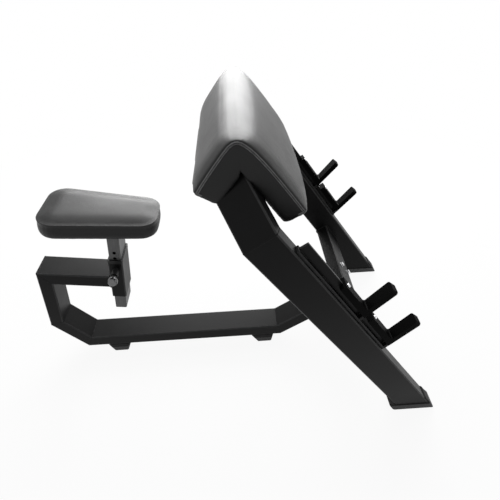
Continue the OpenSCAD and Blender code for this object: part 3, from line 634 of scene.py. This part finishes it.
def tube_outline(half_a, half_b, sunk):
    """The rounded outline of a tube, drawn in by sunk, as pairs of offsets."""
    r = TUBE_ROUND
    made = []
    for quarter, (side_a, side_b) in enumerate(((1, 1), (-1, 1), (-1, -1), (1, -1))):
        for k in range(5):
            turn = math.pi / 2 * (quarter + k / 4)
            made.append((side_a * (half_a - r) + (r - sunk) * math.cos(turn),
                         side_b * (half_b - r) + (r - sunk) * math.sin(turn)))
    return made


def bead_round(name, centre, along, side_a, side_b, half_a, half_b, flat, radius, sunk):
    """A bead round a tube where a plane with the given normal cuts it."""
    made = []
    for a, b in tube_outline(half_a, half_b, sunk):
        offset = side_a * a + side_b * b
        made.append(centre + offset - along * (offset.dot(flat) / along.dot(flat)))
    return bead(name, made, radius, True)


def mitre(name, centre, angle_a, angle_b):
    """A ground-down bead round the mitre between two spine tubes."""
    along = slope(angle_a)
    other = slope(angle_b)
    side = slope(angle_a + math.pi / 2)
    bead_round(name, centre, along, side, ACROSS, TUBE_SHORT / 2, TUBE_LONG / 2,
               (along + other).normalized(), 0.0028, 0.0021)


mitre("weld_arm_corner", ARM_CORNER, LEAN * -1, math.pi / 2 - LEAN)
mitre("weld_knee_high", KNEE_HIGH, -math.pi / 2 - LEAN, -KNEE)
mitre("weld_knee_low", KNEE_LOW, -KNEE, 0.0)
mitre("weld_riser_foot", BEAM_FRONT, 0.0, math.pi / 2 - LEG)
bead_round("weld_sleeve", ARM_END, ARM, POST, ACROSS, TUBE_SHORT / 2, TUBE_LONG / 2 - 0.001, ARM,
           0.0036, -0.0002)
bead_round("weld_riser_flange", RISER_END, OUT, UP, ACROSS, TUBE_SHORT / 2, TUBE_LONG / 2, OUT,
           0.004, -0.0005)
for side, sign in (("left", 1), ("right", -1)):
    outward = ACROSS * sign
    bead_round("weld_crossbar_" + side, on_leg(sign * BAR_Y, 0, CROSSBAR_MIDDLE), outward, UP, OUT,
               TUBE_LONG / 2, TUBE_SHORT / 2, outward, 0.0038, -0.0004)
    turned_in = (UP - outward).normalized()
    bead_round("weld_leg_bend_" + side, on_leg(sign * LEG_Y, BEND_UP, -TUBE_SHORT), UP, outward, OUT,
               TUBE_SHORT / 2, TUBE_LONG / 2, (UP + turned_in).normalized(), 0.0028, 0.0021)
    stitches = []
    for top in (RACK_TOP - 0.002, 0.452, 0.342, 0.232, 0.122):
        for edge, height, radius in ((-0.0145, 0.0, 0.0022), (0.0145, 0.0, 0.0022),
                                     (-0.004, 0.008, 0.0024), (0.004, 0.008, 0.0024)):
            place = sign * LEG_Y + edge
            path = spaced([on_leg(place, top, height), on_leg(place, top - 0.034, height)], 0.0011)
            stitches.append(rod("stitch", path, radius, ripple=0.12))
    finish_piece(joined("weld_rack_" + side, stitches), "frame", "frame_paint", COAT)
ring = [on_post(0, 0, PIN_HIGH) + ACROSS * -0.05
        + (ARM * math.cos(a) + POST * math.sin(a)) * 0.0122
        for a in [2 * math.pi * k / 48 for k in range(48)]]
bead("weld_pin_barrel", ring, 0.0028, True)


# Cushions
def padded_form(name, cushion, board, voxel):
    """The cushion's outer form with its board's pocket filled, as one even skin."""
    body = copy_of(cushion, name)
    filler = copy_of(board, name + "_filler")
    pick(filler, "polygons", everything)
    bpy.ops.transform.shrink_fatten(value=0.0012)
    done()
    body = joined(name, [body, filler])
    put_on(body, "REMESH", "even_skin", mode="VOXEL", voxel_size=voxel, adaptivity=0.0)
    put_on(body, "SMOOTH", "even_skin", factor=0.5, iterations=2)
    return body


def swell(piece, shrink, cap, resting, pressure=4.0):
    """Blows the cushion up like filled cloth, holding the points that rest on its board."""
    points = piece.data.vertices
    still = {v.index for v in points if resting(v.co)}
    group = piece.vertex_groups.new(name="held")
    group.add(sorted(still), 1.0, "REPLACE")
    start = [v.co.copy() for v in points]
    normals = [v.normal.copy() for v in points]
    for v in points:
        if v.index not in still:
            v.co = start[v.index] - normals[v.index] * shrink
    take_up(piece)
    cloth = piece.modifiers.new("filled_cover", "CLOTH")
    cloth.settings.use_pressure = True
    cloth.settings.uniform_pressure_force = pressure
    cloth.settings.effector_weights.gravity = 0
    cloth.settings.vertex_group_mass = "held"
    cloth.settings.quality = 5
    cloth.settings.mass = 0.3
    cloth.settings.tension_stiffness = 15
    cloth.settings.compression_stiffness = 15
    cloth.settings.bending_stiffness = 0.6
    cloth.point_cache.frame_start = 1
    cloth.point_cache.frame_end = CLOTH_FRAMES
    for number in range(1, CLOTH_FRAMES + 1):
        bpy.context.scene.frame_set(number)
    bpy.ops.object.modifier_apply(modifier=cloth.name)
    bpy.context.scene.frame_set(1)
    moves = [v.co - start[v.index] for v in points]
    moves = [move * min(1.0, cap / max(move.length, 1e-9)) for move in moves]
    for _turn in range(EVEN_TURNS):
        sums = [move.copy() for move in moves]
        counts = [1] * len(moves)
        for edge in piece.data.edges:
            a, b = edge.vertices
            sums[a] += moves[b]
            sums[b] += moves[a]
            counts[a] += 1
            counts[b] += 1
        moves = [total / count for total, count in zip(sums, counts)]
    for v in points:
        v.co = start[v.index] + moves[v.index]
    piece.vertex_groups.clear()


def eased(piece, test, turns):
    """Evens out the part of a cover for which test holds."""
    group = piece.vertex_groups.new(name="eased")
    group.add([v.index for v in piece.data.vertices if test(v.co)], 1.0, "REPLACE")
    put_on(piece, "SMOOTH", "even_cover", factor=0.5, iterations=turns, vertex_group="eased")
    piece.vertex_groups.clear()


def seam_of(node, on_seam, bend, gap=0.0015):
    """Points along a CAD cushion's edges that turn by more than bend, where its cover is sewn."""
    data = bmesh.new()
    data.from_mesh(NODES[node].data)
    bmesh.ops.remove_doubles(data, verts=data.verts, dist=0.00001)
    made = []
    for edge in data.edges:
        if len(edge.link_faces) == 2 and edge.calc_face_angle() > math.radians(bend):
            a, b = (v.co.copy() for v in edge.verts)
            if on_seam(a) and on_seam(b):
                count = max(1, round((b - a).length / gap))
                made += [a.lerp(b, k / count) for k in range(count)]
    data.free()
    return made


def pinched(piece, seam, reach, pull):
    """Draws the cover up to its seam, so that the edge there is as tight as the sewing."""
    tree = KDTree(len(seam))
    for number, point in enumerate(seam):
        tree.insert(point, number)
    tree.balance()
    for v in piece.data.vertices:
        near, _number, gap = tree.find(v.co)
        if gap < reach:
            v.co += (near - v.co) * pull * math.sqrt(1 - gap / reach)


def pocketed(piece, board, clearance):
    """Cuts the board's pocket into the cushion."""
    cutter = copy_of(board, "pocket_cutter")
    pick(cutter, "polygons", everything)
    bpy.ops.transform.shrink_fatten(value=clearance)
    done()
    put_on(piece, "BOOLEAN", "pocket", operation="DIFFERENCE", object=cutter, solver="EXACT")
    bpy.data.objects.remove(cutter)


def over_seat(place):
    """Height over the underside of the seat cushion."""
    return (place - on_post(0, 0, SEAT_UNDER)).dot(POST)


def seat_resting(place):
    """True where the seat cushion lies on its board."""
    return over_seat(place) < 0.004


def pad_depth(place):
    """Height over the arm pad's plain faces, measured square to the nearer one."""
    return max((place - RIDGE).dot(FRONT_OUT), (place - RIDGE).dot(REAR_OUT))


def pad_resting(place):
    """True where the arm pad lies on its board."""
    return pad_depth(place) < -PAD_DEEP + 0.004


def end_seam(place):
    """True along the sewn edge of either end of the arm pad."""
    return abs(place.y) > PAD_HALF - END_NEAR and pad_depth(place) > -0.03


def ramp(value, low, high):
    """0 below low, 1 above high, and a smooth rise between them."""
    share = min(1.0, max(0.0, (value - low) / (high - low)))
    return share * share * (3 - 2 * share)


def fuller(place):
    """Where a point of the arm pad goes when its ends are stuffed firmly: crowned right up to the
    seam, the rim rolled down below the board, and the rear flap filled out."""
    front = (place - RIDGE).dot(FRONT_OUT)
    rear = (place - RIDGE).dot(REAR_OUT)
    rear_share = ramp(rear - front, -0.03, 0.03)
    outward = FRONT_OUT * (1 - rear_share) + REAR_OUT * rear_share
    down = max((place - RIDGE).dot(FRONT_DOWN) / FRONT_LONG * (1 - rear_share),
               (place - RIDGE).dot(REAR_DOWN) / REAR_LONG * rear_share)
    along = min(1.0, abs(place.y) / PAD_HALF)
    skin = ramp(max(front, rear), -0.03, -0.004)
    crown = CROWN_FILL * (along ** 10 - along ** 20) * (1 - min(1.0, down) ** 3)
    rim = ramp(abs(place.y), 0.258, 0.279) * ramp(-max(front, rear), 0.028, 0.058)
    flap = rear_share * ramp(down, 0.1, 0.9) * ramp(along, 0.3, 1.0)
    sink = RIM_FRONT * (1 - rear_share) + RIM_REAR * rear_share
    return (place + outward * (crown * skin + FLAP_FILL * flap * skin - sink * rim)
            + REAR_DOWN * FLAP_DROP * flap)


def seat_top(place):
    """True on the crown of the seat, clear of its seam."""
    return over_seat(place) > SEAT_THICK + 0.002


def seat_side(place):
    """True on the outline where the seat's side stands widest."""
    return abs(over_seat(place) - SEAT_SIDE) < 0.001


def seat_seam():
    """The seam round the top of the seat's side, just inside its widest outline."""
    middle = on_post(SEAT_MIDDLE, 0, SEAT_UNDER + SEAT_SIDE)
    lift = POST * (SEAT_THICK - SEAT_SIDE)
    return [middle + (point - middle) * 0.99 + lift
            for point in seam_of("seat_cushion", seat_side, 0)]


seat_pad = padded_form("seat_cushion_cover", "seat_cushion", "seat_board", SEAT_GRAIN)
swell(seat_pad, 0.002, 0.002, seat_resting)
pinched(seat_pad, seat_seam(), 0.014, 0.85)
pinched(seat_pad, seat_seam(), 0.007, 0.8)
eased(seat_pad, seat_top, 30)
put_on(seat_pad, "SUBSURF", "fine_cover", levels=1, render_levels=1)
pocketed(seat_pad, "seat_board", POCKET_ROOM)
smooth(seat_pad, 50)
finish_piece(seat_pad, "seat", "pad_vinyl", VINYL, "seat_cushion")

arm_pad = padded_form("arm_pad_cover", "arm_pad_cushion", "arm_pad_board", PAD_GRAIN)
swell(arm_pad, 0.002, 0.002, pad_resting)
pinched(arm_pad, seam_of("arm_pad_cushion", end_seam, 50), 0.006, 0.75)
for v in arm_pad.data.vertices:
    v.co = fuller(v.co)
put_on(arm_pad, "SUBSURF", "fine_cover", levels=1, render_levels=1)
pocketed(arm_pad, "arm_pad_board", POCKET_ROOM)
smooth(arm_pad, 50)
finish_piece(arm_pad, "frame", "pad_vinyl", VINYL, "arm_pad_cushion")


# Twin seam round each end of the arm pad
def end_outline(sign):
    """The outer outline of the pad's end, from the front tip over the ridge to the rear tip."""
    points = {}
    for v in NODES["arm_pad_cushion"].data.vertices:
        if v.co.y * sign > PAD_HALF - END_NEAR:
            front = (v.co - RIDGE).dot(FRONT_OUT)
            rear = (v.co - RIDGE).dot(REAR_OUT)
            if max(front, rear) > -0.6 * PAD_FOAM:
                points[(round(v.co.x, 5), round(v.co.z, 5))] = v.co.copy()
    centre = RIDGE - Vector((0, 0, 0.1))

    def turn_round(point):
        """The point's angle round a centre under the ridge, without a jump at the rear."""
        turn = math.atan2(point.z - centre.z, point.x - centre.x)
        return turn if turn > -2.0 else turn + 2 * math.pi

    return sorted(points.values(), key=turn_round)


def drawn_in(points, gap):
    """A path in the upright plane, moved inwards by gap."""
    made = []
    for number, point in enumerate(points):
        before = points[max(0, number - 1)]
        after = points[min(len(points) - 1, number + 1)]
        run = (after - before).normalized()
        made.append(point + Vector((-run.z, 0, run.x)) * gap)
    return made


def on_cover(tree, points, sign):
    """Points laid on the cushion's end, seen straight from the side."""
    made = []
    for point in points:
        hit = tree.ray_cast(Vector((point.x, sign * 0.4, point.z)), ACROSS * -sign, 0.3)
        if hit[0] is not None:
            made.append(hit[0])
    return made


cover_tree = BVHTree.FromObject(arm_pad, bpy.context.evaluated_depsgraph_get())
for side, sign in (("left", 1), ("right", -1)):
    outline = [fuller(point) for point in end_outline(sign)]
    ridges = []
    for gap in RIDGE_GAPS:
        path = on_cover(cover_tree, spaced(drawn_in(outline, gap), 0.003), sign)
        ridges.append(rod("seam_ridge", path, 0.0017, sides=8))
    piece = joined("pad_seam_" + side, ridges)
    finish_piece(piece, "frame", "pad_vinyl", WELT)
    path = on_cover(cover_tree, spaced(drawn_in(outline, THREAD_GAP), 0.001), sign)
    threads = []
    for start in range(0, len(path) - 4, 5):
        stitch = [path[start + k] + ACROSS * sign * lift
                  for k, lift in enumerate((-0.0002, 0.0003, 0.0003, -0.0002))]
        threads.append(rod("stitch", stitch, 0.00035, sides=8))
    finish_piece(joined("pad_stitches_" + side, threads), "frame", "pad_vinyl", THREAD)

# Fasteners
BOLTS = (("a", -0.098, 0.017), ("b", 0.098, 0.017), ("c", -0.098, -0.038), ("d", 0.098, -0.038))
for letter, across, up in BOLTS:
    place = axes_at(on_leg(across, up, -TUBE_SHORT), ACROSS, UP, OUT)
    washer = turned("washer", [(0.0095, 0.0), (0.0105, 0.0004), (0.0105, 0.0016), (0.0098, 0.002)],
                    40, place)
    head = turned("head", [(0.0094, 0.002), (0.0098, 0.0024), (0.0098, 0.0082), (0.0085, 0.009),
                           (0.0045, 0.009), (0.0036, 0.0078), (0.001, 0.0076)], 6, place)
    shank = turned("shank", [(0.005, -0.07), (0.005, 0.001)], 24, place)
    finish_piece(joined("crossbar_bolt_" + letter + "_part", [washer, head, shank]), "frame",
                 "zinc", ZINC, "crossbar_bolt_" + letter)
    softened("crossbar_nut_" + letter, 0.0006, ZINC, "zinc")
for letter in "abcd":
    softened("pad_screw_" + letter, 0.001, ZINC, "zinc")
    softened("seat_screw_" + letter, 0.001, ZINC, "zinc", "seat")
for name, sign, notch in (("ul", 1, HOOK_NOTCHES[0]), ("ur", -1, HOOK_NOTCHES[0]),
                          ("ll", 1, HOOK_NOTCHES[1]), ("lr", -1, HOOK_NOTCHES[1])):
    place = axes_at(on_leg(sign * LEG_Y, notch + HOOK_BACK - HOOK_SCREW_DOWN, WEB_LOW + HOOK_THICK),
                    ACROSS, UP, OUT)
    dome = [(0.0058, 0.0), (0.0065, 0.0004), (0.0064, 0.0016), (0.0057, 0.003), (0.0044, 0.0038),
            (0.0026, 0.0041), (0.0022, 0.0026), (0.0006, 0.0025)]
    head = turned("hook_screw_" + name + "_part", dome, 40, place)
    finish_piece(head, "frame", "zinc", ZINC, "hook_screw_" + name)

# Pull knob
knob_place = axes_at(on_post(0, 0, PIN_HIGH) + ACROSS * -0.105, ARM, POST, -ACROSS)
profile = [(0.0078, -0.0215), (0.0083, -0.0205), (0.0083, -0.0165), (0.0075, -0.0155),
           (0.0095, -0.0141)]
for degrees in range(-52, 88, 6):
    angle = math.radians(degrees)
    profile.append((0.017 * math.cos(angle), 0.017 * math.sin(angle)))
knob = turned("pin_knob_part", profile, 64, knob_place)
finish_piece(knob, "pin", "post_steel", BRIGHT, "pin_knob")

# Camera, at the photograph's viewing point
camera = bpy.data.objects.new("camera", bpy.data.cameras.new("camera"))
bpy.context.scene.collection.objects.link(camera)
yaw, pitch, roll = math.radians(1.2699), math.radians(39.7142), math.radians(2.6488)
ahead = Vector((math.sin(yaw) * math.cos(pitch), math.cos(yaw) * math.cos(pitch),
                -math.sin(pitch)))
level = Vector((math.cos(yaw), -math.sin(yaw), 0))
down = ahead.cross(level)
side_way = level * math.cos(roll) + down * math.sin(roll)
down_way = down * math.cos(roll) - level * math.sin(roll)
camera.matrix_world = axes_at(Vector((0.0576, -1.1025, 1.3783)), side_way, -down_way, -ahead)
camera.data.sensor_width = 36
camera.data.lens = 28.794
camera.data.clip_start = 0.05
camera.data.clip_end = 100
bpy.context.scene.camera = camera


# Floor, backdrop and soft light
# the floor shows shadow up to the first distance, and is plain white from the second
SHADOW_REACH = (1.3, 2.4)
FLOOR_GLOW = 0.92


def seen_white(path):
    """1 for the rays that show the white studio: seen straight, mirrored or through glass."""
    return (path[0] + path[3] + path[6]).clamped()


def pale_floor():
    """White to look at, but with the bench's shadow on it."""
    f = Finish("studio_floor")
    path = f.node("ShaderNodeLightPath", {})
    plain = f.node("ShaderNodeBsdfDiffuse", {}, (0.82, 0.82, 0.82, 1))[0]
    glow = f.node("ShaderNodeEmission", {}, (1, 1, 1, 1), 1.0)[0]
    away = f.node("ShaderNodeVectorMath", {"operation": "LENGTH"}, f.place())[1]
    share = seen_white(path) * f.fade(away, *SHADOW_REACH, FLOOR_GLOW, 1.0)
    mixed = f.node("ShaderNodeMixShader", {}, share, plain, glow)[0]
    f.links.new(mixed.socket, f.output.inputs["Surface"])
    f.nodes.remove(f.shader)
    return f.material


bpy.ops.object.select_all(action="DESELECT")
bpy.ops.mesh.primitive_plane_add(size=30, location=(0, 0, 0))
floor = bpy.context.object
floor.name = "studio_floor"
floor.data.materials.append(pale_floor())

world = bpy.data.worlds.new("studio")
bpy.context.scene.world = world
world.use_nodes = True
tree = world.node_tree
tree.nodes.clear()
room = tree.nodes.new("ShaderNodeBackground")
room.inputs[0].default_value = (1, 1, 1, 1)
room.inputs[1].default_value = 0.38
white = tree.nodes.new("ShaderNodeBackground")
white.inputs[0].default_value = (1, 1, 1, 1)
white.inputs[1].default_value = 1.0
sky_path = tree.nodes.new("ShaderNodeLightPath")
either = tree.nodes.new("ShaderNodeMath")
either.operation = "MAXIMUM"
any_of = tree.nodes.new("ShaderNodeMath")
any_of.operation = "MAXIMUM"
chooser = tree.nodes.new("ShaderNodeMixShader")
sky_out = tree.nodes.new("ShaderNodeOutputWorld")
tree.links.new(sky_path.outputs["Is Camera Ray"], either.inputs[0])
tree.links.new(sky_path.outputs["Is Glossy Ray"], either.inputs[1])
tree.links.new(either.outputs[0], any_of.inputs[0])
tree.links.new(sky_path.outputs["Is Transmission Ray"], any_of.inputs[1])
tree.links.new(any_of.outputs[0], chooser.inputs[0])
tree.links.new(room.outputs[0], chooser.inputs[1])
tree.links.new(white.outputs[0], chooser.inputs[2])
tree.links.new(chooser.outputs[0], sky_out.inputs[0])


def softbox(name, place, target, wide, high, brightness):
    """A soft lamp as bright to look at as a surface of this strength."""
    lamp = bpy.data.lights.new(name, "AREA")
    lamp.shape = "RECTANGLE"
    lamp.size = wide
    lamp.size_y = high
    lamp.energy = brightness * wide * high * math.pi
    holder = bpy.data.objects.new(name, lamp)
    holder.location = place
    holder.rotation_euler = (Vector(target) - Vector(place)).to_track_quat("-Z", "Y").to_euler()
    holder.visible_camera = False
    bpy.context.scene.collection.objects.link(holder)


softbox("overhead", (-0.1, 1.3, 3.0), (0, 0, 0.5), 2.4, 1.8, 2.6)
softbox("rear_wall", (0.15, 2.9, 1.95), (0.05, 0, 0.9), 2.9, 1.7, 9.0)

bpy.context.scene.view_settings.view_transform = "Standard"
